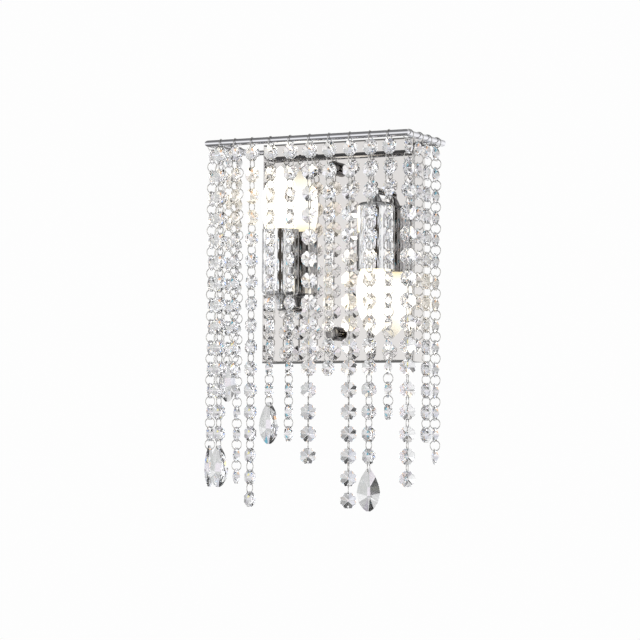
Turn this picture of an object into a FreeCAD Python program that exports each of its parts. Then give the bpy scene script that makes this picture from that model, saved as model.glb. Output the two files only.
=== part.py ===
import FreeCAD, Part
import math
import os

# Crystal wall sconce. Millimetres, +Z up, +X to the right for someone facing
# the wall. The wall is the plane Y = 0 and the light stands out towards -Y.
# The origin is on the wall, at the middle of the back plate.

# Back plate: a folded tray of mirror-polished sheet, open at the back
PLATE_W = 157.0
PLATE_H = 207.0
PLATE_D = 25.0
SHEET = 1.2
BEND_R = 2.0

# Wall bracket: a flat strap behind the tray, with two studs for the cap nuts
BRACKET_W = 24.0
BRACKET_H = 176.0
BRACKET_T = 2.0
WALL_SLOT_SPACING = 110.0
WALL_SLOT_W = 5.2
WALL_SLOT_L = 18.0
CABLE_HOLE_D = 14.0
STUD_SPACING = 154.0
STUD_D = 4.0
STUD_PROUD = 7.0
STUD_CLEARANCE = 0.2

# Decorative cap nuts
CAP_D = 13.0
CAP_L = 12.0
CAP_EDGE_R = 2.5

# Frame: round rod, mitred at the front corners, with a cross rod at the back
ROD_D = 6.0
FRAME_W = 200.0
FRAME_OUT = 92.0
LEG_WALL_GAP = 9.0
BAR_DROP = 5.5
RAIL_D = 4.6
RAIL_OUT = 12.0
RAIL_SLOT_CLEARANCE = 0.3
BOSS_SPACING = 100.0
BOSS_D = 7.0
RAIL_SCREW_D = 2.5
RAIL_SCREW_HOLE_CLEARANCE = 0.1
RAIL_SCREW_BITE = 7.0
RAIL_SCREW_HEAD_D = 4.6
RAIL_SCREW_HEAD_H = 1.6

# Lamps: the left one stands up, the right one is the same, turned upside down
LAMP_SPACING = 98.0
LAMP_OUT = 20.0
SLEEVE_D = 35.0
SLEEVE_WALL = 1.0
SLEEVE_FLOOR = 1.5
SLEEVE_L = 62.0
SLEEVE_RIM_Z = 20.3
SLEEVE_EDGE_R = 5.0
COLLAR_TOP_D = 13.0
COLLAR_H = 8.0
STEM_D = 5.5
STEM_BORE_D = 3.4
ARM_D = 6.0
ARM_BORE_D = 4.0
ARM_DROP = 11.0
ARM_FLANGE_D = 11.0
ARM_FLANGE_T = 2.0
ARM_TAIL = 5.0
ARM_NUT_AF = 10.0
ARM_NUT_T = 3.0
NIPPLE_D = 8.0
NIPPLE_BORE_D = 5.5
NIPPLE_IN_COLLAR = 3.0
NIPPLE_IN_HOLDER = 7.5
HOLDER_D = 26.0
HOLDER_H = 42.0
HOLDER_CHAMFER = 1.0
SOCKET_D = 14.2
SOCKET_DEPTH = 24.0
SOCKET_LIP_D = 22.0
SOCKET_LIP_H = 4.0
CONTACT_W = 3.0
CONTACT_L = 8.0
CONTACT_GAP = 0.3

# Candle bulbs with a screw base
BULB_D = 35.0
BULB_GLASS_L = 78.0
BULB_GLASS_WALL = 0.8
BULB_NECK_D = 14.6
BULB_RIM_D = 27.6
BULB_SHOWS = 60.0
BULB_WIDE_UP = 23.7
BASE_D = 13.4
BASE_L = 22.0
BASE_TIP_D = 5.0
BASE_TAPER_H = 5.0
BASE_TIP_H = 1.5

# Terminal block and earth screw on the bracket
TERMINAL_W = 30.0
TERMINAL_H = 18.0
TERMINAL_BASE_T = 8.0
TERMINAL_T = 14.0
TERMINAL_Z = -29.0
TERMINAL_WAYS = 3
TOWER_W = 8.0
TOWER_H = 12.0
TERMINAL_WIRE_D = 3.2
TERMINAL_SCREW_D = 3.6
TERMINAL_SCREW_L = 5.0
TERMINAL_SCREW_RECESS = 1.0
EARTH_Z = 28.0
EARTH_D = 4.0
EARTH_HEAD_D = 8.0
EARTH_HEAD_H = 2.4

# Crystal strands: octagon beads linked by jump rings, some ending in an almond
BEAD_D = 14.0
BEAD_T = 8.0
BEAD_HOLE_EDGE = 1.7
BEAD_HOLE_R = 0.8
RING_R = 4.6
WIRE_R = 0.5
RING_HANG_GAP = 0.1
ALMOND_L = 38.0
ALMOND_W = 21.0
ALMOND_T = 10.0
ALMOND_HOLE_EDGE = 3.6
# Half outline of the almond: share of its half width, share of its length down
ALMOND_SIDE = [
    (0.16, 0.0),
    (0.60, 0.19),
    (0.90, 0.40),
    (1.0, 0.57),
    (0.84, 0.79),
    (0.45, 0.94),
    (0.16, 1.0),
]
ALMOND_RIDGE_DOWN = 0.40
ALMOND_RIDGE_T = 0.8
TWIST_LINKS = 8
FRONT_FACING = 0.0
LEG_FACING = 90.0

# Each strand: its place along the bar or leg, its number of beads, the way its
# beads face once the strand has twisted, and the way its almond faces, if it
# ends in one (0 faces straight out from the wall, 90 faces +X). A front place
# runs from -1 at the left corner to 1 at the right one, a leg place from 0 at
# the front corner to 1 at the end of the leg.
FRONT_STRANDS = [
    (-0.872, 14, 0.0, 0.0),
    (-0.723, 11, -30.0, None),
    (-0.545, 17, -12.0, None),
    (-0.354, 12, -28.0, -12.0),
    (-0.154, 14, -30.0, None),
    (0.045, 15, 24.0, None),
    (0.241, 11, -22.0, None),
    (0.449, 17, 24.0, None),
    (0.649, 15, -4.0, 24.0),
    (0.836, 13, -42.0, None),
]
LEFT_STRANDS = [
    (0.078, 14, 90.0, 90.0),
    (0.265, 12, 90.0, None),
    (0.480, 10, 80.0, 62.0),
    (0.711, 16, 90.0, None),
]
RIGHT_STRANDS = [
    (0.065, 16, 28.0, None),
    (0.327, 10, 90.0, None),
    (0.563, 14, 68.0, None),
    (0.811, 15, 90.0, None),
]

X = FreeCAD.Vector(1, 0, 0)
Y = FreeCAD.Vector(0, 1, 0)
Z = FreeCAD.Vector(0, 0, 1)
ORIGIN = FreeCAD.Vector(0, 0, 0)

# Places that several pieces share
FACE_Y = -PLATE_D
INNER_FACE_Y = FACE_Y + SHEET
BAR_Z = PLATE_H / 2 - BAR_DROP
ROD_R = ROD_D / 2
RAIL_R = RAIL_D / 2
LEG_L = FRAME_OUT - LEG_WALL_GAP
LAMP_X = -LAMP_SPACING / 2
LAMP_Y = FACE_Y - LAMP_OUT
SLEEVE_END_Z = SLEEVE_RIM_Z - SLEEVE_L
SLEEVE_FLOOR_Z = SLEEVE_END_Z + SLEEVE_FLOOR
ARM_Z = SLEEVE_END_Z - ARM_DROP
HOLDER_TOP_Z = SLEEVE_FLOOR_Z + HOLDER_H
BULB_TIP_Z = SLEEVE_RIM_Z + BULB_SHOWS
GLASS_Z = BULB_TIP_Z - BULB_GLASS_L
BEAD_R = BEAD_D / 2
BEAD_HOLE_R_OUT = BEAD_R - BEAD_HOLE_EDGE
PITCH = 2 * (BEAD_HOLE_R_OUT + RING_R)
OVERCUT = 1.0


def vec(x, y, z):
    return FreeCAD.Vector(x, y, z)


def save(shape, node):
    shape.exportStep("parts/%s.step" % node)


def cyl(radius, length, base, axis):
    return Part.makeCylinder(radius, length, base, axis)


def group(shapes):
    return Part.makeCompound(shapes)


def lathe(points, axis_base):
    """Turn a closed outline of (radius, height) points about a vertical line."""
    ring = [axis_base + vec(r, 0, z) for r, z in points]
    wire = Part.makePolygon(ring + [ring[0]])
    return Part.Face(wire).revolve(axis_base, Z, 360)


def hexagon(across_flats, height, base, axis):
    """A hexagonal prism standing on base, along axis."""
    corner = across_flats / 2 / math.cos(math.pi / 6)
    points = []
    for i in range(7):
        angle = math.pi / 3 * i
        points.append(vec(corner * math.cos(angle), corner * math.sin(angle), 0))
    prism = Part.Face(Part.makePolygon(points)).extrude(vec(0, 0, height))
    prism.Placement = FreeCAD.Placement(base, FreeCAD.Rotation(Z, axis))
    return prism


def solid_of(faces):
    """Close a list of corner loops into one solid."""
    shell = Part.Shell([Part.Face(Part.makePolygon(f + [f[0]])) for f in faces])
    solid = Part.Solid(shell)
    if solid.Volume < 0:
        solid.reverse()
    return solid


def half_turn(shape):
    """The same piece for the right lamp, turned upside down about Y."""
    other = shape.copy()
    other.rotate(ORIGIN, Y, 180)
    return other


def back_plate():
    tray = Part.makeBox(PLATE_W, PLATE_D, PLATE_H, vec(-PLATE_W / 2, FACE_Y, -PLATE_H / 2))
    front = []
    for edge in tray.Edges:
        if all(abs(v.Y - FACE_Y) < 0.01 for v in edge.Vertexes):
            front.append(edge)
    tray = tray.makeFillet(BEND_R, front)
    hollow = Part.makeBox(
        PLATE_W - 2 * SHEET,
        PLATE_D - SHEET,
        PLATE_H - 2 * SHEET,
        vec(-PLATE_W / 2 + SHEET, INNER_FACE_Y, -PLATE_H / 2 + SHEET),
    )
    inner = []
    for edge in hollow.Edges:
        if all(abs(v.Y - INNER_FACE_Y) < 0.01 for v in edge.Vertexes):
            inner.append(edge)
    hollow = hollow.makeFillet(BEND_R - SHEET, inner)
    tray = tray.cut(hollow)
    for z in (-STUD_SPACING / 2, STUD_SPACING / 2):
        hole_r = STUD_D / 2 + STUD_CLEARANCE
        tray = tray.cut(cyl(hole_r, PLATE_D, vec(0, FACE_Y - OVERCUT, z), Y))
    for side in (-1, 1):
        middle = vec(side * LAMP_SPACING / 2, FACE_Y - OVERCUT, -side * ARM_Z)
        tray = tray.cut(cyl(ARM_D / 2, PLATE_D, middle, Y))
    for side in (-1, 1):
        x = side * BOSS_SPACING / 2
        boss_l = PLATE_D - SHEET - RAIL_OUT - RAIL_R
        tray = tray.fuse(cyl(BOSS_D / 2, boss_l, vec(x, INNER_FACE_Y, BAR_Z), Y))
        bore_l = RAIL_SCREW_BITE
        bore_y = -RAIL_OUT - RAIL_R - bore_l
        tray = tray.cut(cyl(RAIL_SCREW_D / 2, bore_l + OVERCUT, vec(x, bore_y, BAR_Z), Y))
    slot_r = RAIL_R + RAIL_SLOT_CLEARANCE
    slot = cyl(slot_r, PLATE_W + 2 * OVERCUT, vec(-PLATE_W / 2 - OVERCUT, -RAIL_OUT, BAR_Z), X)
    mouth = Part.makeBox(
        PLATE_W + 2 * OVERCUT,
        RAIL_OUT + OVERCUT,
        2 * slot_r,
        vec(-PLATE_W / 2 - OVERCUT, -RAIL_OUT, BAR_Z - slot_r),
    )
    core = Part.makeBox(
        PLATE_W - 2 * SHEET - 2 * OVERCUT,
        PLATE_D,
        PLATE_H,
        vec(-PLATE_W / 2 + SHEET + OVERCUT, FACE_Y, -PLATE_H / 2),
    )
    return tray.cut(slot.fuse(mouth).cut(core)).removeSplitter()


def wall_bracket():
    strap = Part.makeBox(BRACKET_W, BRACKET_T, BRACKET_H, vec(-BRACKET_W / 2, -BRACKET_T, -BRACKET_H / 2))
    deep = BRACKET_T + 2 * OVERCUT
    front = -BRACKET_T - OVERCUT
    strap = strap.cut(cyl(CABLE_HOLE_D / 2, deep, vec(0, front, 0), Y))
    run = WALL_SLOT_L - WALL_SLOT_W
    for side in (-1, 1):
        mid = side * WALL_SLOT_SPACING / 2
        slot = Part.makeBox(WALL_SLOT_W, deep, run, vec(-WALL_SLOT_W / 2, front, mid - run / 2))
        for end in (-1, 1):
            slot = slot.fuse(cyl(WALL_SLOT_W / 2, deep, vec(0, front, mid + end * run / 2), Y))
        strap = strap.cut(slot)
        strap = strap.cut(cyl(STUD_D / 2, deep, vec(0, front, side * STUD_SPACING / 2), Y))
    strap = strap.cut(cyl(EARTH_D / 2, deep, vec(0, front, EARTH_Z), Y))
    return strap.removeSplitter()


def bracket_studs():
    length = PLATE_D + STUD_PROUD
    return group([cyl(STUD_D / 2, length, vec(0, -length, s * STUD_SPACING / 2), Y) for s in (-1, 1)])


def cap_nuts():
    """Two turned barrel nuts with a rounded outer edge."""
    nuts = []
    for side in (-1, 1):
        base = vec(0, FACE_Y, side * STUD_SPACING / 2)
        nut = cyl(CAP_D / 2, CAP_L, base, -Y)
        rounded = []
        for edge in nut.Edges:
            if edge.BoundBox.YMax < FACE_Y - CAP_L + 0.01:
                rounded.append(edge)
        nut = nut.makeFillet(CAP_EDGE_R, rounded)
        nuts.append(nut.cut(cyl(STUD_D / 2, STUD_PROUD, base, -Y)))
    return group(nuts)


def mitre_cutter(side, keep_front):
    """A block whose slanted side passes through a front corner of the frame."""
    size = 4 * ROD_D
    block = Part.makeBox(size, size, size, vec(-size / 2, 0, -size / 2))
    turn = -45 if keep_front else 135
    block.rotate(ORIGIN, Z, side * turn)
    block.translate(vec(side * FRAME_W / 2, -FRAME_OUT, BAR_Z))
    return block


def front_bar():
    length = FRAME_W + ROD_D
    bar = cyl(ROD_R, length, vec(-length / 2, -FRAME_OUT, BAR_Z), X)
    for side in (-1, 1):
        bar = bar.cut(mitre_cutter(side, True))
    return bar


def leg(side):
    length = LEG_L + ROD_D
    rod = cyl(ROD_R, length, vec(side * FRAME_W / 2, -LEG_WALL_GAP - length, BAR_Z), Y)
    return rod.cut(mitre_cutter(side, False))


def rear_rail(left_leg, right_leg):
    """The cross rod, coped to the legs and drilled for its two screws."""
    rail = cyl(RAIL_R, FRAME_W, vec(-FRAME_W / 2, -RAIL_OUT, BAR_Z), X)
    rail = rail.cut(left_leg).cut(right_leg)
    hole_r = RAIL_SCREW_D / 2 + RAIL_SCREW_HOLE_CLEARANCE
    for side in (-1, 1):
        x = side * BOSS_SPACING / 2
        rail = rail.cut(cyl(hole_r, 2 * RAIL_D, vec(x, -RAIL_OUT - RAIL_D, BAR_Z), Y))
    return rail


def rail_screws():
    screws = []
    seat = -RAIL_OUT + RAIL_R
    length = RAIL_D + RAIL_SCREW_BITE
    for side in (-1, 1):
        x = side * BOSS_SPACING / 2
        shank = cyl(RAIL_SCREW_D / 2, length, vec(x, seat - length, BAR_Z), Y)
        head = cyl(RAIL_SCREW_HEAD_D / 2, RAIL_SCREW_HEAD_H, vec(x, seat, BAR_Z), Y)
        screws.append(shank.fuse(head).removeSplitter())
    return group(screws)


def lamp_arm():
    """Hollow arm from the tray, round elbow, and the stem and cone that carry the sleeve."""
    axis = vec(LAMP_X, LAMP_Y, 0)
    elbow = axis + Z * ARM_Z
    arm = lathe(
        [
            (0, ARM_Z),
            (STEM_D / 2, ARM_Z),
            (STEM_D / 2, SLEEVE_END_Z - COLLAR_H),
            (COLLAR_TOP_D / 2, SLEEVE_END_Z),
            (0, SLEEVE_END_Z),
        ],
        axis,
    )
    tail_y = FACE_Y + SHEET + ARM_TAIL
    arm = arm.fuse(Part.makeSphere(ARM_D / 2, elbow))
    arm = arm.fuse(cyl(ARM_D / 2, tail_y - LAMP_Y, elbow, Y))
    arm = arm.fuse(cyl(ARM_FLANGE_D / 2, ARM_FLANGE_T, vec(LAMP_X, FACE_Y - ARM_FLANGE_T, ARM_Z), Y))
    arm = arm.cut(cyl(ARM_BORE_D / 2, tail_y - LAMP_Y + OVERCUT, elbow, Y))
    socket_z = SLEEVE_END_Z - NIPPLE_IN_COLLAR
    arm = arm.cut(cyl(STEM_BORE_D / 2, socket_z - ARM_Z, elbow, Z))
    return arm.cut(cyl(NIPPLE_D / 2, NIPPLE_IN_COLLAR, axis + Z * socket_z, Z)).removeSplitter()


def arm_nuts():
    nut = hexagon(ARM_NUT_AF, ARM_NUT_T, vec(LAMP_X, INNER_FACE_Y, ARM_Z), Y)
    nut = nut.cut(cyl(ARM_D / 2, ARM_NUT_T, vec(LAMP_X, INNER_FACE_Y, ARM_Z), Y))
    return group([nut, half_turn(nut)])


def socket_sleeve():
    """The open metal cup round the lamp holder."""
    axis = vec(LAMP_X, LAMP_Y, 0)
    sleeve = cyl(SLEEVE_D / 2, SLEEVE_L, axis + Z * SLEEVE_END_Z, Z)
    rounded = []
    for edge in sleeve.Edges:
        if abs(edge.BoundBox.ZMax - SLEEVE_END_Z) < 0.01:
            rounded.append(edge)
    sleeve = sleeve.makeFillet(SLEEVE_EDGE_R, rounded)
    inside = cyl(SLEEVE_D / 2 - SLEEVE_WALL, SLEEVE_L, axis + Z * SLEEVE_FLOOR_Z, Z)
    edges = []
    for edge in inside.Edges:
        if abs(edge.BoundBox.ZMax - SLEEVE_FLOOR_Z) < 0.01:
            edges.append(edge)
    inside = inside.makeFillet(SLEEVE_EDGE_R - SLEEVE_WALL, edges)
    sleeve = sleeve.cut(inside)
    return sleeve.cut(cyl(NIPPLE_D / 2, SLEEVE_FLOOR, axis + Z * SLEEVE_END_Z, Z))


def sleeve_nipples():
    """Threaded tubes that clamp collar, sleeve and lamp holder together."""
    low = SLEEVE_END_Z - NIPPLE_IN_COLLAR
    high = SLEEVE_FLOOR_Z + NIPPLE_IN_HOLDER
    nipple = lathe(
        [(NIPPLE_BORE_D / 2, low), (NIPPLE_D / 2, low), (NIPPLE_D / 2, high), (NIPPLE_BORE_D / 2, high)],
        vec(LAMP_X, LAMP_Y, 0),
    )
    return group([nipple, half_turn(nipple)])


def lamp_holders():
    """Moulded candle holders: a nipple bore below, a socket above."""
    nipple_top = SLEEVE_FLOOR_Z + NIPPLE_IN_HOLDER
    socket_floor = HOLDER_TOP_Z - SOCKET_DEPTH
    shoulder = HOLDER_TOP_Z - SOCKET_LIP_H
    holder = lathe(
        [
            (NIPPLE_D / 2, SLEEVE_FLOOR_Z),
            (HOLDER_D / 2 - HOLDER_CHAMFER, SLEEVE_FLOOR_Z),
            (HOLDER_D / 2, SLEEVE_FLOOR_Z + HOLDER_CHAMFER),
            (HOLDER_D / 2, shoulder),
            (SOCKET_LIP_D / 2, shoulder),
            (SOCKET_LIP_D / 2, HOLDER_TOP_Z),
            (SOCKET_D / 2, HOLDER_TOP_Z),
            (SOCKET_D / 2, socket_floor),
            (0, socket_floor),
            (0, nipple_top),
            (NIPPLE_D / 2, nipple_top),
        ],
        vec(LAMP_X, LAMP_Y, 0),
    )
    return group([holder, half_turn(holder)])


def holder_contacts():
    """The sprung centre contact on the floor of each socket."""
    floor = HOLDER_TOP_Z - SOCKET_DEPTH
    height = GLASS_Z - BASE_L - CONTACT_GAP - floor
    tab = Part.makeBox(
        CONTACT_W, CONTACT_L, height, vec(LAMP_X - CONTACT_W / 2, LAMP_Y - CONTACT_L / 2, floor)
    )
    return group([tab, half_turn(tab)])


def bulb_body(inset):
    """The candle shape as a solid, drawn inset from the outer glass.

    A straight neck meets an arc that swells to the widest place, and a second
    arc closes from there to the tip."""
    wide = BULB_D / 2
    wide_z = SLEEVE_RIM_Z + BULB_WIDE_UP
    flare = wide - BULB_RIM_D / 2
    low_r = (flare**2 + BULB_WIDE_UP**2) / (2 * flare)
    rise = BULB_TIP_Z - wide_z
    high_r = (wide**2 + rise**2) / (2 * wide)
    neck = BULB_NECK_D / 2 - inset

    def on_arc(radius, z):
        """The outline's point at this height, on the arc of this radius."""
        reach = math.sqrt((radius - inset) ** 2 - (z - wide_z) ** 2)
        return vec(wide - radius + reach, 0, z)

    drop = math.sqrt((low_r - inset) ** 2 - (neck - wide + low_r) ** 2)
    neck_end = vec(neck, 0, wide_z - drop)
    widest = vec(wide - inset, 0, wide_z)
    tip_z = wide_z + math.sqrt((high_r - inset) ** 2 - (high_r - wide) ** 2)
    tip = vec(0, 0, tip_z)
    foot = vec(0, 0, GLASS_Z)
    corner = vec(neck, 0, GLASS_Z)
    low_arc = Part.Arc(neck_end, on_arc(low_r, wide_z - drop / 2), widest)
    high_arc = Part.Arc(widest, on_arc(high_r, (wide_z + tip_z) / 2), tip)
    outline = [
        Part.makeLine(foot, corner),
        Part.makeLine(corner, neck_end),
        low_arc.toBSpline().toShape(),
        high_arc.toBSpline().toShape(),
        Part.makeLine(tip, foot),
    ]
    return Part.Face(Part.Wire(outline)).revolve(ORIGIN, Z, 360)


def bulb_glass():
    glass = bulb_body(0.0).cut(bulb_body(BULB_GLASS_WALL))
    glass.translate(vec(LAMP_X, LAMP_Y, 0))
    return glass


def bulb_base():
    """The screw base, with its taper and centre tip."""
    bottom = GLASS_Z - BASE_L
    taper = bottom + BASE_TIP_H
    return lathe(
        [
            (0, bottom),
            (BASE_TIP_D / 2, bottom),
            (BASE_TIP_D / 2, taper),
            (BASE_D / 2, taper + BASE_TAPER_H),
            (BASE_D / 2, GLASS_Z),
            (0, GLASS_Z),
        ],
        vec(LAMP_X, LAMP_Y, 0),
    )


def tower_places():
    step = TERMINAL_W / TERMINAL_WAYS
    return [step * (i - (TERMINAL_WAYS - 1) / 2) for i in range(TERMINAL_WAYS)]


def terminal_block():
    """A moulded connector strip: a foot with one bored tower for each way."""
    back = -BRACKET_T
    low = TERMINAL_Z - TERMINAL_H / 2
    corner = vec(-TERMINAL_W / 2, back - TERMINAL_BASE_T, low)
    block = Part.makeBox(TERMINAL_W, TERMINAL_BASE_T, TERMINAL_H, corner)
    for x in tower_places():
        corner = vec(x - TOWER_W / 2, back - TERMINAL_T, TERMINAL_Z - TOWER_H / 2)
        block = block.fuse(Part.makeBox(TOWER_W, TERMINAL_T, TOWER_H, corner))
    for x in tower_places():
        wire_y = back - TERMINAL_T / 2
        bore = cyl(TERMINAL_WIRE_D / 2, TERMINAL_H + 2 * OVERCUT, vec(x, wire_y, low - OVERCUT), Z)
        block = block.cut(bore)
        for side in (-1, 1):
            z = TERMINAL_Z + side * TOWER_H / 4
            top = back - TERMINAL_T
            block = block.cut(cyl(TERMINAL_SCREW_D / 2, TERMINAL_SCREW_L, vec(x, top, z), Y))
    return block.removeSplitter()


def terminal_screws():
    head_y = -BRACKET_T - TERMINAL_T + TERMINAL_SCREW_RECESS
    length = TERMINAL_SCREW_L - TERMINAL_SCREW_RECESS
    screws = []
    for x in tower_places():
        for side in (-1, 1):
            z = TERMINAL_Z + side * TOWER_H / 4
            screws.append(cyl(TERMINAL_SCREW_D / 2, length, vec(x, head_y, z), Y))
    return group(screws)


def earth_screw():
    shank = cyl(EARTH_D / 2, BRACKET_T, vec(0, -BRACKET_T, EARTH_Z), Y)
    head = cyl(EARTH_HEAD_D / 2, EARTH_HEAD_H, vec(0, -BRACKET_T, EARTH_Z), -Y)
    return shank.fuse(head).removeSplitter()


def drill(solid, z, flat_up):
    """A three-sided hole through a crystal, with its flat side to the rim."""
    corner = 2 * BEAD_HOLE_R
    start = math.pi / 2 if not flat_up else -math.pi / 2
    points = []
    for i in range(4):
        angle = start + i * 2 * math.pi / 3
        points.append(vec(corner * math.cos(angle), -BEAD_T, z + corner * math.sin(angle)))
    tool = Part.Face(Part.makePolygon(points)).extrude(Y * 2 * BEAD_T)
    return solid.cut(tool)


def bead():
    """An octagon bead facing -Y: a flat double pyramid with two small holes."""
    corner = BEAD_R / math.cos(math.pi / 8)
    rim = []
    for i in range(8):
        angle = math.pi / 8 + i * math.pi / 4
        rim.append(vec(corner * math.cos(angle), 0, corner * math.sin(angle)))
    faces = []
    for tip in (vec(0, -BEAD_T / 2, 0), vec(0, BEAD_T / 2, 0)):
        for i in range(8):
            faces.append([rim[i], rim[(i + 1) % 8], tip])
    crystal = solid_of(faces)
    crystal = drill(crystal, BEAD_HOLE_R_OUT, True)
    return drill(crystal, -BEAD_HOLE_R_OUT, False)


def almond():
    """A cut almond facing -Y, with the middle of its hole at the origin."""
    top = ALMOND_HOLE_EDGE
    right = [vec(ALMOND_W / 2 * wide, 0, top - ALMOND_L * down) for wide, down in ALMOND_SIDE]
    left = [vec(-p.x, 0, p.z) for p in right]
    last = len(right) - 1
    widest = max(range(last), key=lambda i: right[i].x)
    upper = widest - 1
    faces = []
    for depth in (-ALMOND_T / 2, ALMOND_T / 2):
        high = vec(0, depth * ALMOND_RIDGE_T, top - ALMOND_L * ALMOND_RIDGE_DOWN)
        low = vec(0, depth, right[widest].z)
        for edge in (right, left):
            for i in range(last):
                faces.append([edge[i], edge[i + 1], high if i < upper else low])
            faces.append([edge[upper], high, low])
        faces.append([left[0], right[0], high])
        faces.append([left[last], right[last], low])
    return drill(solid_of(faces), 0, True)


def jump_ring():
    """A six-sided ring of three-sided wire in the plane of Y and Z."""
    half = WIRE_R * math.sin(math.pi / 3)
    wire = [(-WIRE_R / 2, -half), (-WIRE_R / 2, half), (WIRE_R, 0)]
    loops = []
    for i in range(6):
        angle = math.pi / 3 * i
        loop = []
        for outward, sideways in wire:
            corner = (RING_R + outward) / math.cos(math.pi / 6)
            loop.append(vec(sideways, corner * math.cos(angle), corner * math.sin(angle)))
        loops.append(loop)
    faces = []
    for i in range(6):
        here = loops[i]
        beyond = loops[(i + 1) % 6]
        for j in range(3):
            k = (j + 1) % 3
            faces.append([here[j], here[k], beyond[k], beyond[j]])
    return solid_of(faces)


def strand(hook, natural, recipe, bead_shape, ring_shape, almond_shape):
    """Crystals and rings of one strand, hung from the bar centre at hook."""
    place, beads, facing, almond_facing = recipe
    crystals = []
    rings = []
    ring_z = ROD_R + RING_HANG_GAP + WIRE_R / 2 - RING_R

    def placed(shape, z, link, towards):
        turned = shape.copy()
        angle = natural + (towards - natural) * min(1.0, link / TWIST_LINKS)
        turned.Placement = FreeCAD.Placement(hook + Z * z, FreeCAD.Rotation(Z, angle))
        return turned

    for i in range(beads):
        z = ring_z - i * PITCH
        rings.append(placed(ring_shape, z, 2 * i, facing))
        crystals.append(placed(bead_shape, z - PITCH / 2, 2 * i + 1, facing))
    if almond_facing is not None:
        z = ring_z - beads * PITCH
        rings.append(placed(ring_shape, z, 2 * beads, (facing + almond_facing) / 2))
        crystals.append(placed(almond_shape, z - RING_R, 2 * beads + 1, almond_facing))
    return group(crystals), group(rings)


def hooks():
    """Name, hook point, natural facing and recipe of every strand."""
    found = []
    for i, recipe in enumerate(FRONT_STRANDS):
        hook = vec(recipe[0] * FRAME_W / 2, -FRAME_OUT, BAR_Z)
        found.append(("front_strand_%d" % (i + 1), hook, FRONT_FACING, recipe))
    for name, side, rows in (("left", -1, LEFT_STRANDS), ("right", 1, RIGHT_STRANDS)):
        for i, recipe in enumerate(rows):
            hook = vec(side * FRAME_W / 2, -FRAME_OUT + recipe[0] * LEG_L, BAR_Z)
            found.append(("%s_strand_%d" % (name, i + 1), hook, LEG_FACING, recipe))
    return found


def build():
    os.makedirs("parts", exist_ok=True)
    save(wall_bracket(), "wall_bracket")
    save(bracket_studs(), "bracket_studs")
    save(back_plate(), "back_plate")
    save(cap_nuts(), "cap_nuts")
    left_leg = leg(-1)
    right_leg = leg(1)
    save(front_bar(), "frame_front_bar")
    save(left_leg, "frame_left_leg")
    save(right_leg, "frame_right_leg")
    save(rear_rail(left_leg, right_leg), "frame_rear_rail")
    save(rail_screws(), "rail_screws")
    for make, node in (
        (lamp_arm, "lamp_arm"),
        (socket_sleeve, "socket_sleeve"),
        (bulb_glass, "bulb_glass"),
        (bulb_base, "bulb_base"),
    ):
        piece = make()
        save(piece, node + "_left")
        save(half_turn(piece), node + "_right")
    save(arm_nuts(), "arm_nuts")
    save(sleeve_nipples(), "sleeve_nipples")
    save(lamp_holders(), "lamp_holders")
    save(holder_contacts(), "holder_contacts")
    save(terminal_block(), "terminal_block")
    save(terminal_screws(), "terminal_screws")
    save(earth_screw(), "earth_screw")
    shapes = (bead(), jump_ring(), almond())
    for name, hook, natural, recipe in hooks():
        crystals, rings = strand(hook, natural, recipe, *shapes)
        save(crystals, name + "_crystals")
        save(rings, name + "_rings")


build()
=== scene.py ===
import math

import bmesh
import bpy
from mathutils import Matrix, Vector


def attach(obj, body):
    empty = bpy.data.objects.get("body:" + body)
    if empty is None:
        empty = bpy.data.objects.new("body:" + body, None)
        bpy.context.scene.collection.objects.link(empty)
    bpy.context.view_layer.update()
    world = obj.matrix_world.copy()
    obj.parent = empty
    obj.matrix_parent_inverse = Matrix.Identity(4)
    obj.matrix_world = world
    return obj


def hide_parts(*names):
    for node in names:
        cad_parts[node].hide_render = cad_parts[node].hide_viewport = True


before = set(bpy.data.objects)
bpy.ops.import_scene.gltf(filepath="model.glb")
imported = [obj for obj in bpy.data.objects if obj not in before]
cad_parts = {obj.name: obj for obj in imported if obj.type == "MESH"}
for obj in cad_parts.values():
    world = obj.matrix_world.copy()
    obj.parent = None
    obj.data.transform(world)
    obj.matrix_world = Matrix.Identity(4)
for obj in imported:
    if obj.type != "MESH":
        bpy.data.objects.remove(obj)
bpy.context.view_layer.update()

bpy.context.scene.view_settings.view_transform = "Standard"

# Same sizes as in the part's source, in metres
MM = 0.001
BAR_Z = 98.0 * MM
FRAME_OUT = 92.0 * MM
FRAME_W = 200.0 * MM
LEG_L = 83.0 * MM
BEAD_R = 7.0 * MM
BEAD_T = 8.0 * MM
BEAD_HOLE_OUT = 5.3 * MM
HOLE_R = 0.8 * MM
RING_R = 4.6 * MM
RING_FIRST_Z = -1.25 * MM
PITCH = 19.8 * MM
ALMOND_L = 38.0 * MM
ALMOND_W = 21.0 * MM
ALMOND_T = 10.0 * MM
ALMOND_TOP = 3.6 * MM
BULB_GLASS_NEAR = 2.3 * MM
BULB_GLASS_FAR = 80.3 * MM

# The almond's edge, as shares of its half width and of its length from the top
ALMOND_SIDE = [
    (0.16, 0.0), (0.60, 0.19), (0.90, 0.40), (1.0, 0.57), (0.84, 0.79), (0.45, 0.94), (0.16, 1.0),
]

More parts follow.
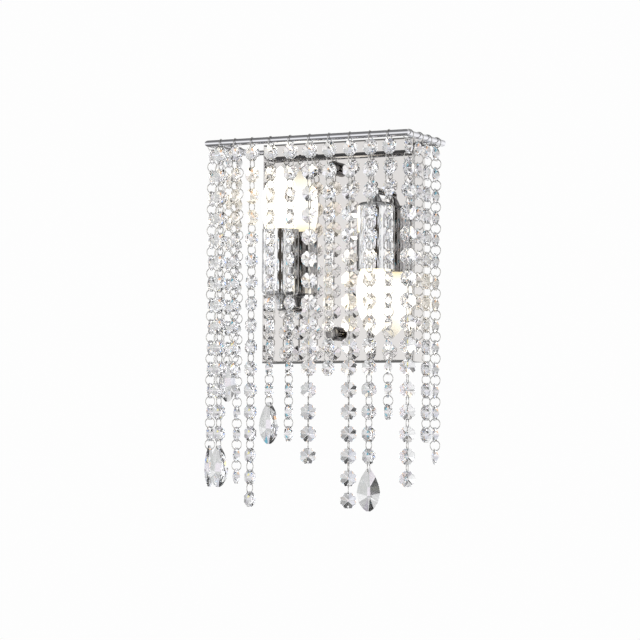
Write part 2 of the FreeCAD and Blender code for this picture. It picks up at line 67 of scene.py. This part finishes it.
# Each strand's place along its rod (front: from the middle, sides: from the front corner),
# its bead count, the beads' facing in degrees, and the almond's facing or None without one
FRONT_STRANDS = [
    (-0.872, 14, 0.0, 0.0),
    (-0.723, 11, -30.0, None),
    (-0.545, 17, -12.0, None),
    (-0.354, 12, -28.0, -12.0),
    (-0.154, 14, -30.0, None),
    (0.045, 15, 24.0, None),
    (0.241, 11, -22.0, None),
    (0.449, 17, 24.0, None),
    (0.649, 15, -4.0, 24.0),
    (0.836, 13, -42.0, None),
]
LEFT_STRANDS = [
    (0.078, 14, 90.0, 90.0),
    (0.265, 12, 90.0, None),
    (0.480, 10, 80.0, 62.0),
    (0.711, 16, 90.0, None),
]
RIGHT_STRANDS = [
    (0.065, 16, 28.0, None),
    (0.327, 10, 90.0, None),
    (0.563, 14, 68.0, None),
    (0.811, 15, 90.0, None),
]

# A strand turns from the rod's direction to its own facing over this many links
TWIST_LINKS = 8
# What each link turns besides: waves of (degrees, step per strand, step per link),
# on the side rods all one way and at least SIDE_TURN
OWN_TURNS = [(5.5, 7.3, 2.7), (4.0, 3.1, 5.9)]
SIDE_TURN = 3.0


# Camera

AZIMUTH = math.radians(26.1)
ELEVATION = math.radians(-3.10)
ROLL = math.radians(0.36)
DISTANCE = 2.2115
AIM = Vector((-0.01215, -0.035, -0.06440))
SENSOR_W = 36
FOCAL_PIXELS = 2380.1
IMAGE_PIXELS = 640


def make_camera():
    back = Vector((
        math.sin(AZIMUTH) * math.cos(ELEVATION),
        -math.cos(AZIMUTH) * math.cos(ELEVATION),
        math.sin(ELEVATION),
    ))
    right = Vector((0, 0, 1)).cross(back).normalized()
    up = back.cross(right)
    turned_right = right * math.cos(ROLL) + up * math.sin(ROLL)
    turned_up = up * math.cos(ROLL) - right * math.sin(ROLL)
    data = bpy.data.cameras.new("camera")
    data.sensor_width = SENSOR_W
    data.lens = FOCAL_PIXELS / IMAGE_PIXELS * SENSOR_W
    data.clip_start = 0.05
    data.clip_end = 50
    camera = bpy.data.objects.new("camera", data)
    bpy.context.scene.collection.objects.link(camera)
    axes = Matrix((turned_right, turned_up, back)).transposed()
    camera.matrix_world = Matrix.Translation(AIM + back * DISTANCE) @ axes.to_4x4()
    bpy.context.scene.camera = camera


# Node helpers

def feed(tree, socket, value):
    """Link a socket to another one, or give it a plain value."""
    if isinstance(value, bpy.types.NodeSocket):
        tree.links.new(value, socket)
    else:
        socket.default_value = value


def coordinates(tree, kind):
    return tree.nodes.new("ShaderNodeTexCoord").outputs[kind]


def axes_of(tree, vector):
    node = tree.nodes.new("ShaderNodeSeparateXYZ")
    tree.links.new(vector, node.inputs["Vector"])
    return node.outputs


def noise(tree, scale, stretch=None):
    vector = coordinates(tree, "Object")
    if stretch:
        mapping = tree.nodes.new("ShaderNodeMapping")
        mapping.inputs["Scale"].default_value = stretch
        tree.links.new(vector, mapping.inputs["Vector"])
        vector = mapping.outputs["Vector"]
    node = tree.nodes.new("ShaderNodeTexNoise")
    node.inputs["Scale"].default_value = scale
    node.inputs["Detail"].default_value = 3.0
    tree.links.new(vector, node.inputs["Vector"])
    return node.outputs["Fac"]


def ramp(tree, source, stops, interpolation="LINEAR"):
    """A colour by the source's value, from (place, colour or grey) stops."""
    node = tree.nodes.new("ShaderNodeValToRGB")
    node.color_ramp.interpolation = interpolation
    elements = node.color_ramp.elements
    while len(elements) < len(stops):
        elements.new(0.5)
    for element, (place, value) in zip(elements, stops):
        element.position = place
        colour = value if isinstance(value, tuple) else (value, value, value)
        element.color = (*colour, 1)
    tree.links.new(source, node.inputs["Fac"])
    return node.outputs["Color"]


def spread(tree, source, low, high):
    """The source's place between low and high, from 0 to 1."""
    node = tree.nodes.new("ShaderNodeMapRange")
    node.inputs["From Min"].default_value = low
    node.inputs["From Max"].default_value = high
    tree.links.new(source, node.inputs["Value"])
    return node.outputs["Result"]


def maths(tree, operation, *values):
    node = tree.nodes.new("ShaderNodeMath")
    node.operation = operation
    for socket, value in zip(node.inputs, values):
        feed(tree, socket, value)
    return node.outputs[0]


def blend_colours(tree, kind, first, second, share):
    """A mix of two colours; their sockets are numbers 6 and 7 of the node's inputs."""
    node = tree.nodes.new("ShaderNodeMix")
    node.data_type = "RGBA"
    node.blend_type = kind
    for slot, value in ((0, share), (6, first), (7, second)):
        feed(tree, node.inputs[slot], value)
    return node.outputs[2]


def bump(tree, shader, height, strength, distance):
    node = tree.nodes.new("ShaderNodeBump")
    node.inputs["Strength"].default_value = strength
    node.inputs["Distance"].default_value = distance
    tree.links.new(height, node.inputs["Height"])
    tree.links.new(node.outputs["Normal"], shader.inputs["Normal"])


def darkened(colour, share):
    return tuple(c * share for c in colour)


# Materials

METAL_BUMP = 0.2 * MM
PLASTIC_BUMP = 0.1 * MM
PLASTIC_GRAIN = 900.0

CRYSTAL_GRAIN = 35.0
CRYSTAL_CLEAR = 0.97
CRYSTAL_IOR = 1.56
CRYSTAL_CAST = [(0.3, (0.975, 0.98, 0.985)), (0.7, (0.995, 0.995, 0.998))]

# Middles of the lit bulbs, and how far off their light is painted into the crystals as a glow and
# a warm tint: the stops run from the full distance to the end distance below
LAMPS = [(-0.049, -0.045, 0.045), (0.049, -0.045, -0.045)]
PAINTED_GLOW_FULL = 46.0 * MM
PAINTED_GLOW_END = 64.0 * MM
PAINTED_GLOW_STRENGTH = 0.07
# Painted lamp light: the colours in which crystal glows near the bulbs, from full to none
PAINTED_LAMP_GLOW = [
    (0.0, (1.0, 0.95, 0.85)), (0.33, (0.50, 0.46, 0.39)), (0.66, (0.14, 0.12, 0.09)), (1.0, 0.0),
]
# Painted lamp light: crystal near the bulbs is tinted warm, from full to none
PAINTED_LAMP_WARMTH = [(0.0, (0.86, 0.80, 0.69)), (0.5, (0.94, 0.91, 0.85)), (1.0, 1.0)]

# A lit bulb from its base to its tip
LIT_STRENGTH = 2.0
LIT_GLASS = [
    (0.0, (0.22, 0.17, 0.07)), (0.20, (0.50, 0.42, 0.22)), (0.265, (0.80, 0.75, 0.56)),
    (0.32, (0.94, 0.91, 0.78)), (0.45, (1.0, 0.97, 0.86)), (0.72, (1.0, 0.97, 0.86)),
    (0.87, (0.78, 0.75, 0.63)), (1.0, (0.36, 0.34, 0.28)),
]


def material(name):
    mat = bpy.data.materials.new(name)
    mat.use_nodes = True
    tree = mat.node_tree
    return mat, tree, tree.nodes["Principled BSDF"]


def metal(name, colour, polish, grain, darker, uneven=0.0, stretch=None):
    """Metal whose polish and tint drift a little over the surface."""
    mat, tree, shader = material(name)
    drift = noise(tree, grain, stretch)
    roughness = ramp(tree, drift, [(0.3, polish[0]), (0.75, polish[1])])
    tint = ramp(tree, drift, [(0.25, darkened(colour, darker)), (0.6, colour)])
    shader.inputs["Metallic"].default_value = 1.0
    tree.links.new(roughness, shader.inputs["Roughness"])
    tree.links.new(tint, shader.inputs["Base Color"])
    if uneven:
        bump(tree, shader, drift, uneven, METAL_BUMP)
    return mat


def plastic(name, colour, roughness):
    mat, tree, shader = material(name)
    drift = noise(tree, PLASTIC_GRAIN)
    tint = ramp(tree, drift, [(0.3, darkened(colour, 0.95)), (0.7, colour)])
    tree.links.new(tint, shader.inputs["Base Color"])
    shader.inputs["Roughness"].default_value = roughness
    bump(tree, shader, drift, 0.15, PLASTIC_BUMP)
    return mat


def crystal_glass(name):
    """Lead crystal: clear glass, with a faint grey cast that drifts from bead to bead, and the
    lamps' warm light painted in around the bulbs as a glow and a warm tint."""
    mat, tree, shader = material(name)
    cast = ramp(tree, noise(tree, CRYSTAL_GRAIN), CRYSTAL_CAST)
    reaches = []
    for lamp in LAMPS:
        reach = tree.nodes.new("ShaderNodeVectorMath")
        reach.operation = "DISTANCE"
        reach.inputs[1].default_value = lamp
        tree.links.new(coordinates(tree, "Object"), reach.inputs[0])
        reaches.append(reach.outputs["Value"])
    reach = spread(tree, maths(tree, "MINIMUM", *reaches), PAINTED_GLOW_FULL, PAINTED_GLOW_END)
    # the grey cast, tinted warm near the bulbs by painted lamp light
    cast_with_painted_lamp_warmth = blend_colours(tree, "MULTIPLY", cast, ramp(tree, reach, PAINTED_LAMP_WARMTH), 1.0)
    tree.links.new(cast_with_painted_lamp_warmth, shader.inputs["Base Color"])
    # painted lamp light: the crystal glows near the bulbs
    tree.links.new(ramp(tree, reach, PAINTED_LAMP_GLOW), shader.inputs["Emission Color"])
    shader.inputs["Emission Strength"].default_value = PAINTED_GLOW_STRENGTH
    shader.inputs["Roughness"].default_value = 0.0
    shader.inputs["Transmission Weight"].default_value = CRYSTAL_CLEAR
    shader.inputs["IOR"].default_value = CRYSTAL_IOR
    return mat


def lit_glass(name, base_z, tip_z):
    """Frosted bulb glass, brightest where the lamp's light source sits."""
    mat, tree, shader = material(name)
    height = axes_of(tree, coordinates(tree, "Object"))["Z"]
    light = ramp(tree, spread(tree, height, base_z, tip_z), LIT_GLASS)
    tree.links.new(light, shader.inputs["Emission Color"])
    shader.inputs["Emission Strength"].default_value = LIT_STRENGTH
    shader.inputs["Base Color"].default_value = (0.96, 0.94, 0.90, 1)
    shader.inputs["Roughness"].default_value = 0.25
    return mat


MIRROR = metal("mirror_steel", (0.565, 0.548, 0.537), (0.012, 0.03), 9.0, 0.985, uneven=0.01)
CHROME = metal("chrome", (0.76, 0.76, 0.765), (0.03, 0.07), 45.0, 0.96, uneven=0.02)
ROD_CHROME = metal("rod_chrome", (0.66, 0.66, 0.69), (0.05, 0.10), 70.0, 0.94, uneven=0.02)
DARK_NICKEL = metal("dark_nickel", (0.20, 0.19, 0.185), (0.06, 0.12), 90.0, 0.9, uneven=0.02)
RING_WIRE = metal("ring_wire", (0.72, 0.71, 0.69), (0.10, 0.22), 300.0, 0.85)
ZINC = metal("zinc_plate", (0.62, 0.63, 0.66), (0.25, 0.45), 220.0, 0.8, uneven=0.1)
BRASS = metal("brass", (0.80, 0.62, 0.30), (0.18, 0.34), 260.0, 0.85, uneven=0.05)
CAP = metal("bulb_cap", (0.78, 0.77, 0.74), (0.2, 0.35), 400.0, 0.88, 0.1, stretch=(1, 1, 6))
HOLDER = plastic("holder_plastic", (0.86, 0.85, 0.81), 0.5)
TERMINAL = plastic("terminal_plastic", (0.90, 0.90, 0.88), 0.45)
CRYSTAL = crystal_glass("crystal")
LIT_LEFT = lit_glass("lit_glass_left", BULB_GLASS_NEAR, BULB_GLASS_FAR)
LIT_RIGHT = lit_glass("lit_glass_right", -BULB_GLASS_NEAR, -BULB_GLASS_FAR)

# What the solids that show themselves wear, by how their names start
LOOKS = {
    "back_plate": MIRROR,
    "frame_": ROD_CHROME,
    "cap_nuts": DARK_NICKEL,
    "lamp_arm": CHROME,
    "socket_sleeve": CHROME,
    "wall_bracket": ZINC,
    "bracket_studs": ZINC,
    "rail_screws": ZINC,
    "arm_nuts": ZINC,
    "sleeve_nipples": ZINC,
    "holder_contacts": BRASS,
    "terminal_screws": BRASS,
    "earth_screw": BRASS,
    "lamp_holders": HOLDER,
    "terminal_block": TERMINAL,
    "bulb_base": CAP,
    "bulb_glass_left": LIT_LEFT,
    "bulb_glass_right": LIT_RIGHT,
}


def dress_solids():
    for name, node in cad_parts.items():
        for start, mat in LOOKS.items():
            if name.startswith(start):
                node.data.materials.clear()
                node.data.materials.append(mat)


# Crystals and rings, as (vertices, faces)

DRILL_SIDES = 10
KITE_TILT = math.radians(26)
RIM_TILT = math.radians(42)
BEAD_GIRDLE = 0.35 * MM
ALMOND_GIRDLE = 0.7 * MM
# Where the almond's long facets meet, as shares of half its thickness and of its length
UPPER_POINT = (0.92, 0.44)
LOWER_POINT = (1.0, 0.66)
# The rings are round, where the solids have six-sided ones of about the same reach
RING_OUT = 0.1 * MM
WIRE_R = 0.45 * MM
RING_SEGMENTS = 20
WIRE_SIDES = 6


def cut_solid(planes, size):
    """A convex crystal: a block cut by each (normal, distance) plane."""
    bm = bmesh.new()
    bmesh.ops.create_cube(bm, size=size)
    for normal, distance in planes:
        cut = bmesh.ops.bisect_plane(
            bm, geom=bm.verts[:] + bm.edges[:] + bm.faces[:], dist=1e-8,
            plane_co=normal * distance, plane_no=normal, clear_outer=True,
        )
        edges = [g for g in cut["geom_cut"] if isinstance(g, bmesh.types.BMEdge)]
        if len(edges) > 2:
            bmesh.ops.contextual_create(bm, geom=edges)
    bmesh.ops.remove_doubles(bm, verts=bm.verts[:], dist=1e-7)
    bmesh.ops.recalc_face_normals(bm, faces=bm.faces[:])
    mesh = bpy.data.meshes.new("cut")
    bm.to_mesh(mesh)
    bm.free()
    return mesh


def make_drill(z):
    bm = bmesh.new()
    turn = Matrix.Translation((0, 0, z)) @ Matrix.Rotation(math.pi / 2, 4, "X")
    bmesh.ops.create_cone(
        bm, cap_ends=True, segments=DRILL_SIDES, radius1=HOLE_R, radius2=HOLE_R,
        depth=4 * BEAD_T, matrix=turn,
    )
    mesh = bpy.data.meshes.new("drill")
    bm.to_mesh(mesh)
    bm.free()
    drill = bpy.data.objects.new("drill", mesh)
    bpy.context.scene.collection.objects.link(drill)
    return drill


def drilled(mesh, heights):
    """The mesh with round holes along Y at these heights."""
    solid = bpy.data.objects.new("drilled", mesh)
    bpy.context.scene.collection.objects.link(solid)
    drills = [make_drill(z) for z in heights]
    for drill in drills:
        cut = solid.modifiers.new("hole", "BOOLEAN")
        cut.operation = "DIFFERENCE"
        cut.solver = "EXACT"
        cut.object = drill
    bpy.context.view_layer.update()
    done = solid.evaluated_get(bpy.context.evaluated_depsgraph_get()).to_mesh()
    verts = [v.co.copy() for v in done.vertices]
    faces = [tuple(p.vertices) for p in done.polygons]
    for obj in [solid, *drills]:
        bpy.data.objects.remove(obj)
    return verts, faces


def tilted(tilt, around, face):
    """The Y direction of a face, tilted towards an angle in the plane of X and Z."""
    return Vector((
        math.sin(tilt) * math.cos(around), face * math.cos(tilt), math.sin(tilt) * math.sin(around)
    ))


def octagon_bead():
    """Eight kite facets meet at each face's middle and point at the corners,
    with a row of small facets along the flat sides."""
    kite_distance = BEAD_T / 2 * math.cos(KITE_TILT)
    rim_distance = BEAD_R * math.sin(RIM_TILT) + BEAD_GIRDLE * math.cos(RIM_TILT)
    planes = []
    for i in range(8):
        side = math.radians(45 * i)
        corner = math.radians(45 * i + 22.5)
        planes.append((Vector((math.cos(side), 0, math.sin(side))), BEAD_R))
        for face in (-1, 1):
            planes.append((tilted(KITE_TILT, corner, face), kite_distance))
            planes.append((tilted(RIM_TILT, side, face), rim_distance))
    return drilled(cut_solid(planes, 4 * BEAD_R), (BEAD_HOLE_OUT, -BEAD_HOLE_OUT))


def almond_z(down):
    return ALMOND_TOP - ALMOND_L * down


def plane_through(a, b, c):
    """(normal, distance) of the plane of three points, facing out of the almond."""
    normal = (b - a).cross(c - a).normalized()
    inside = Vector((0, 0, almond_z(0.6)))
    if normal.dot(a - inside) < 0:
        normal = -normal
    return normal, normal.dot(a)


def almond():
    """A drop with long side facets that meet at two points on its middle line."""
    planes = []
    for side in (-1, 1):
        edge = [Vector((ALMOND_W / 2 * w * side, 0, almond_z(down))) for w, down in ALMOND_SIDE]
        for a, b in zip(edge, edge[1:]):
            planes.append(plane_through(a, b, a + Vector((0, MM, 0))))
            out, down = UPPER_POINT if (a.z + b.z) / 2 > almond_z(0.5) else LOWER_POINT
            for face in (-1, 1):
                point = Vector((0, face * ALMOND_T / 2 * out, almond_z(down)))
                lift = Vector((0, face * ALMOND_GIRDLE, 0))
                planes.append(plane_through(a + lift, b + lift, point))
    planes.append((Vector((0, 0, 1)), almond_z(0.0)))
    planes.append((Vector((0, 0, -1)), -almond_z(1.0)))
    return drilled(cut_solid(planes, 4 * ALMOND_L), (0.0,))


def jump_ring():
    """A round ring of round wire in the plane of Y and Z."""
    verts, faces = [], []
    for i in range(RING_SEGMENTS):
        a = 2 * math.pi * i / RING_SEGMENTS
        for j in range(WIRE_SIDES):
            b = 2 * math.pi * j / WIRE_SIDES
            reach = RING_R + RING_OUT + WIRE_R * math.cos(b)
            sideways = WIRE_R * math.sin(b)
            verts.append(Vector((sideways, reach * math.cos(a), reach * math.sin(a))))
    for i in range(RING_SEGMENTS):
        here, beyond = i * WIRE_SIDES, ((i + 1) % RING_SEGMENTS) * WIRE_SIDES
        for j in range(WIRE_SIDES):
            k = (j + 1) % WIRE_SIDES
            faces.append((here + j, here + k, beyond + k, beyond + j))
    return verts, faces


def moved(shape, at, degrees):
    verts, faces = shape
    turn = Matrix.Translation(at) @ Matrix.Rotation(math.radians(degrees), 4, "Z")
    return [turn @ v for v in verts], faces


# Strands

def join(name, parts):
    """One mesh from (vertices, faces) pairs."""
    points, loops = [], []
    for verts, faces in parts:
        start = len(points)
        points.extend(verts)
        loops.extend([start + i for i in face] for face in faces)
    mesh = bpy.data.meshes.new(name)
    mesh.from_pydata(points, [], loops)
    mesh.validate()
    return mesh


def piece(name, parts, body, mat, replaced, smooth=False):
    mesh = join(name, parts)
    mesh.materials.append(mat)
    for polygon in mesh.polygons:
        polygon.use_smooth = smooth
    obj = bpy.data.objects.new(name, mesh)
    bpy.context.scene.collection.objects.link(obj)
    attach(obj, body)
    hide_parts(*replaced)


def make_strand(name, hook, natural, recipe, shapes, seed):
    """Crystals and rings of one strand; each crystal hangs a few degrees its own way.
    Natural is the facing of a bead that hangs straight from the rod."""
    place, beads, facing, almond_facing = recipe
    bead, ring, drop = shapes
    crystals, rings = [], []

    def heading(link, towards):
        own = sum(
            size * math.sin(seed * by_strand + link * by_link)
            for size, by_strand, by_link in OWN_TURNS
        )
        if natural:
            own = SIDE_TURN + abs(own)
        return natural + (towards - natural) * min(1.0, link / TWIST_LINKS) + own

    def hang(shape, z, link, towards):
        return moved(shape, hook + Vector((0, 0, z)), heading(link, towards))

    for i in range(beads):
        rings.append(hang(ring, RING_FIRST_Z - i * PITCH, 2 * i, facing))
        crystals.append(hang(bead, RING_FIRST_Z - (i + 0.5) * PITCH, 2 * i + 1, facing))
    if almond_facing is not None:
        z = RING_FIRST_Z - beads * PITCH
        rings.append(hang(ring, z, 2 * beads, (facing + almond_facing) / 2))
        crystals.append(hang(drop, z - RING_R, 2 * beads + 1, almond_facing))
    piece(name + "_cut_crystals", crystals, name, CRYSTAL, (name + "_crystals",))
    piece(name + "_round_rings", rings, name, RING_WIRE, (name + "_rings",),
          smooth=True)


def make_strands():
    shapes = (octagon_bead(), jump_ring(), almond())
    seed = 0
    for i, recipe in enumerate(FRONT_STRANDS):
        hook = Vector((recipe[0] * FRAME_W / 2, -FRAME_OUT, BAR_Z))
        seed += 1
        make_strand("front_strand_%d" % (i + 1), hook, 0.0, recipe, shapes, seed)
    for word, side, rows in (("left", -1, LEFT_STRANDS), ("right", 1, RIGHT_STRANDS)):
        for i, recipe in enumerate(rows):
            hook = Vector((side * FRAME_W / 2, -FRAME_OUT + recipe[0] * LEG_L, BAR_Z))
            seed += 1
            make_strand("%s_strand_%d" % (word, i + 1), hook, 90.0, recipe, shapes, seed)


# Studio

# What the room shows to mirrors by direction: degrees from straight in front towards +X,
# and height from -1 straight down to 1 straight up
WARM_FLAG = (0.05, 0.042, 0.034)
SIDES = [
    (-180, 1.0), (-160, 0.95), (-158, 0.15), (-150, 0.15), (-147, 0.95), (-130, 0.95),
    (-124, 0.50), (-104, 0.50), (-98, 1.0), (-22.5, 1.0), (-21, 0.15), (-18.5, 0.90),
    (0, 1.0), (9, 0.95), (12, WARM_FLAG), (44, WARM_FLAG), (48, 0.95), (70, 0.90),
    (74, 1.0), (110, 1.0), (116, 0.30), (132, 0.30), (140, 0.95), (180, 1.0),
]
LEVELS = [
    (-1.0, 0.20), (-0.85, 0.17), (-0.70, 0.19), (-0.50, 0.33), (-0.35, 0.85), (-0.25, 1.0),
    (0.08, 1.0), (0.25, 0.80), (0.35, 0.62), (0.45, 0.30), (0.70, 0.18), (0.88, 0.20),
    (1.0, 0.38),
]
# What it shows to crystal: flat cells, each tone up to the next stop's share of them
SPARKLE = [
    (0.0, 0.015), (0.06, 0.12), (0.10, 0.27), (0.12, (0.10, 0.40, 0.52)), (0.131, 0.27),
    (0.15, (0.41, 0.39, 0.43)), (0.22, 0.46), (0.33, (0.55, 0.56, 0.55)),
    (0.42, (0.92, 0.84, 0.36)), (0.425, (0.55, 0.56, 0.55)), (0.46, 0.60),
    (0.60, (0.63, 0.64, 0.70)), (0.64, (0.88, 0.56, 0.34)), (0.646, (0.63, 0.64, 0.70)),
    (0.71, 0.69), (0.77, (0.28, 0.44, 0.85)), (0.781, 0.69), (0.82, (0.78, 0.74, 0.79)),
    (0.87, 0.82), (0.94, 1.0),
]
CELL_SCALE = 7.0
CELL_SHIFT = (7.7, 27.3, 19.4)
# What it shows to rough surfaces and to the camera
PLAIN = (0.6, 0.6, 0.6, 1)
BACKDROP = (0.985, 0.985, 0.985, 1)
# Extra light: in crystal, per further facet passed, on rays that crystal or a mirror has
# turned to the front, and on rays mirrored once
CRYSTAL_GAIN = 0.07
PASS_GAIN = 0.38
FRONT_GAIN = 1.15
GLOSSY_GAIN = 0.38
PASSES_FREE = 2.0
PASSES_MOST = 6.0
FRONT_STOPS = [(0.0, 0.0), (0.45, 1.0)]

LIGHT_TARGET = (0, -0.05, -0.05)
FLOOR_REACH = 1.6
FLOOR_Z = -0.62


def mirror_tones(tree, direction, ahead):
    """A soft white room with dark flags in front, overhead and low down, for the
    edges of metal."""
    angle = maths(tree, "ARCTAN2", direction["X"], ahead)
    side_stops = [((degrees + 180) / 360, value) for degrees, value in SIDES]
    sides = ramp(tree, spread(tree, angle, -math.pi, math.pi), side_stops)
    level_stops = [((z + 1) / 2, value) for z, value in LEVELS]
    levels = ramp(tree, spread(tree, direction["Z"], -1.0, 1.0), level_stops)
    return blend_colours(tree, "MULTIPLY", sides, levels, 1.0)


def crystal_tones(tree, vector):
    """The room broken up into many tones, a few of them coloured."""
    mapping = tree.nodes.new("ShaderNodeMapping")
    mapping.inputs["Location"].default_value = CELL_SHIFT
    tree.links.new(vector, mapping.inputs["Vector"])
    cells = tree.nodes.new("ShaderNodeTexVoronoi")
    cells.inputs["Scale"].default_value = CELL_SCALE
    tree.links.new(mapping.outputs["Vector"], cells.inputs["Vector"])
    tone = tree.nodes.new("ShaderNodeSeparateColor")
    tree.links.new(cells.outputs["Color"], tone.inputs["Color"])
    return ramp(tree, tone.outputs["Red"], SPARKLE, "CONSTANT")


def room_colour(tree, vector, direction, ahead, path, through):
    mirrored = mirror_tones(tree, direction, ahead)
    seen = blend_colours(tree, "MIX", mirrored, crystal_tones(tree, vector), through)
    sharp = maths(tree, "MAXIMUM", path["Is Glossy Ray"], through)
    seen = blend_colours(tree, "MIX", PLAIN, seen, sharp)
    return blend_colours(tree, "MIX", seen, BACKDROP, path["Is Camera Ray"])


def room_strength(tree, ahead, path, through):
    further = maths(tree, "SUBTRACT", path["Transmission Depth"], PASSES_FREE)
    further = maths(tree, "MAXIMUM", maths(tree, "MINIMUM", further, PASSES_MOST), 0.0)
    turned = maths(tree, "MINIMUM", path["Glossy Depth"], 1.0)
    turned = maths(tree, "MULTIPLY", through, turned)
    turned = maths(tree, "MULTIPLY", ramp(tree, ahead, FRONT_STOPS), turned)
    mirrored = maths(tree, "MULTIPLY", path["Is Glossy Ray"], path["Is Reflection Ray"])
    once = maths(tree, "COMPARE", path["Glossy Depth"], 1.0, 0.5)
    mirrored = maths(tree, "MULTIPLY", mirrored, once)
    strength = maths(tree, "MULTIPLY_ADD", through, CRYSTAL_GAIN, 1.0)
    strength = maths(tree, "MULTIPLY_ADD", further, PASS_GAIN, strength)
    strength = maths(tree, "MULTIPLY_ADD", turned, FRONT_GAIN, strength)
    return maths(tree, "MULTIPLY_ADD", mirrored, GLOSSY_GAIN, strength)


def make_world():
    world = bpy.data.worlds.new("studio")
    bpy.context.scene.world = world
    world.use_nodes = True
    tree = world.node_tree
    tree.nodes.clear()
    vector = coordinates(tree, "Generated")
    direction = axes_of(tree, vector)
    ahead = maths(tree, "MULTIPLY", direction["Y"], -1.0)
    path = tree.nodes.new("ShaderNodeLightPath").outputs
    through = maths(tree, "MINIMUM", path["Transmission Depth"], 1.0)
    colour = room_colour(tree, vector, direction, ahead, path, through)
    strength = room_strength(tree, ahead, path, through)
    background = tree.nodes.new("ShaderNodeBackground")
    tree.links.new(colour, background.inputs["Color"])
    tree.links.new(strength, background.inputs["Strength"])
    output = tree.nodes.new("ShaderNodeOutputWorld")
    tree.links.new(background.outputs[0], output.inputs["Surface"])


def hide_from_mirrors(obj):
    obj.visible_glossy = False
    obj.visible_transmission = False


def area_light(name, at, size, watts):
    data = bpy.data.lights.new(name, "AREA")
    data.shape = "RECTANGLE"
    data.size, data.size_y = size
    data.energy = watts
    obj = bpy.data.objects.new(name, data)
    bpy.context.scene.collection.objects.link(obj)
    obj.location = at
    aim = Vector(LIGHT_TARGET) - Vector(at)
    obj.rotation_euler = aim.to_track_quat("-Z", "Y").to_euler()
    hide_from_mirrors(obj)


def make_floor():
    mat, tree, shader = material("floor")
    tint = ramp(tree, noise(tree, 3.0), [(0.3, 0.90), (0.7, 0.92)])
    tree.links.new(tint, shader.inputs["Base Color"])
    shader.inputs["Roughness"].default_value = 0.8
    corners = [(-1, -1), (1, -1), (1, 1), (-1, 1)]
    mesh = bpy.data.meshes.new("floor")
    mesh.from_pydata(
        [(x * FLOOR_REACH, y * FLOOR_REACH, FLOOR_Z) for x, y in corners], [], [(0, 1, 2, 3)]
    )
    mesh.materials.append(mat)
    floor = bpy.data.objects.new("floor", mesh)
    bpy.context.scene.collection.objects.link(floor)
    hide_from_mirrors(floor)


make_camera()
make_world()
make_floor()
area_light("key", (-1.2, -1.6, 1.3), (1.0, 1.0), watts=22)
area_light("fill", (1.5, -1.4, 0.3), (0.7, 1.4), watts=11)
dress_solids()
make_strands()
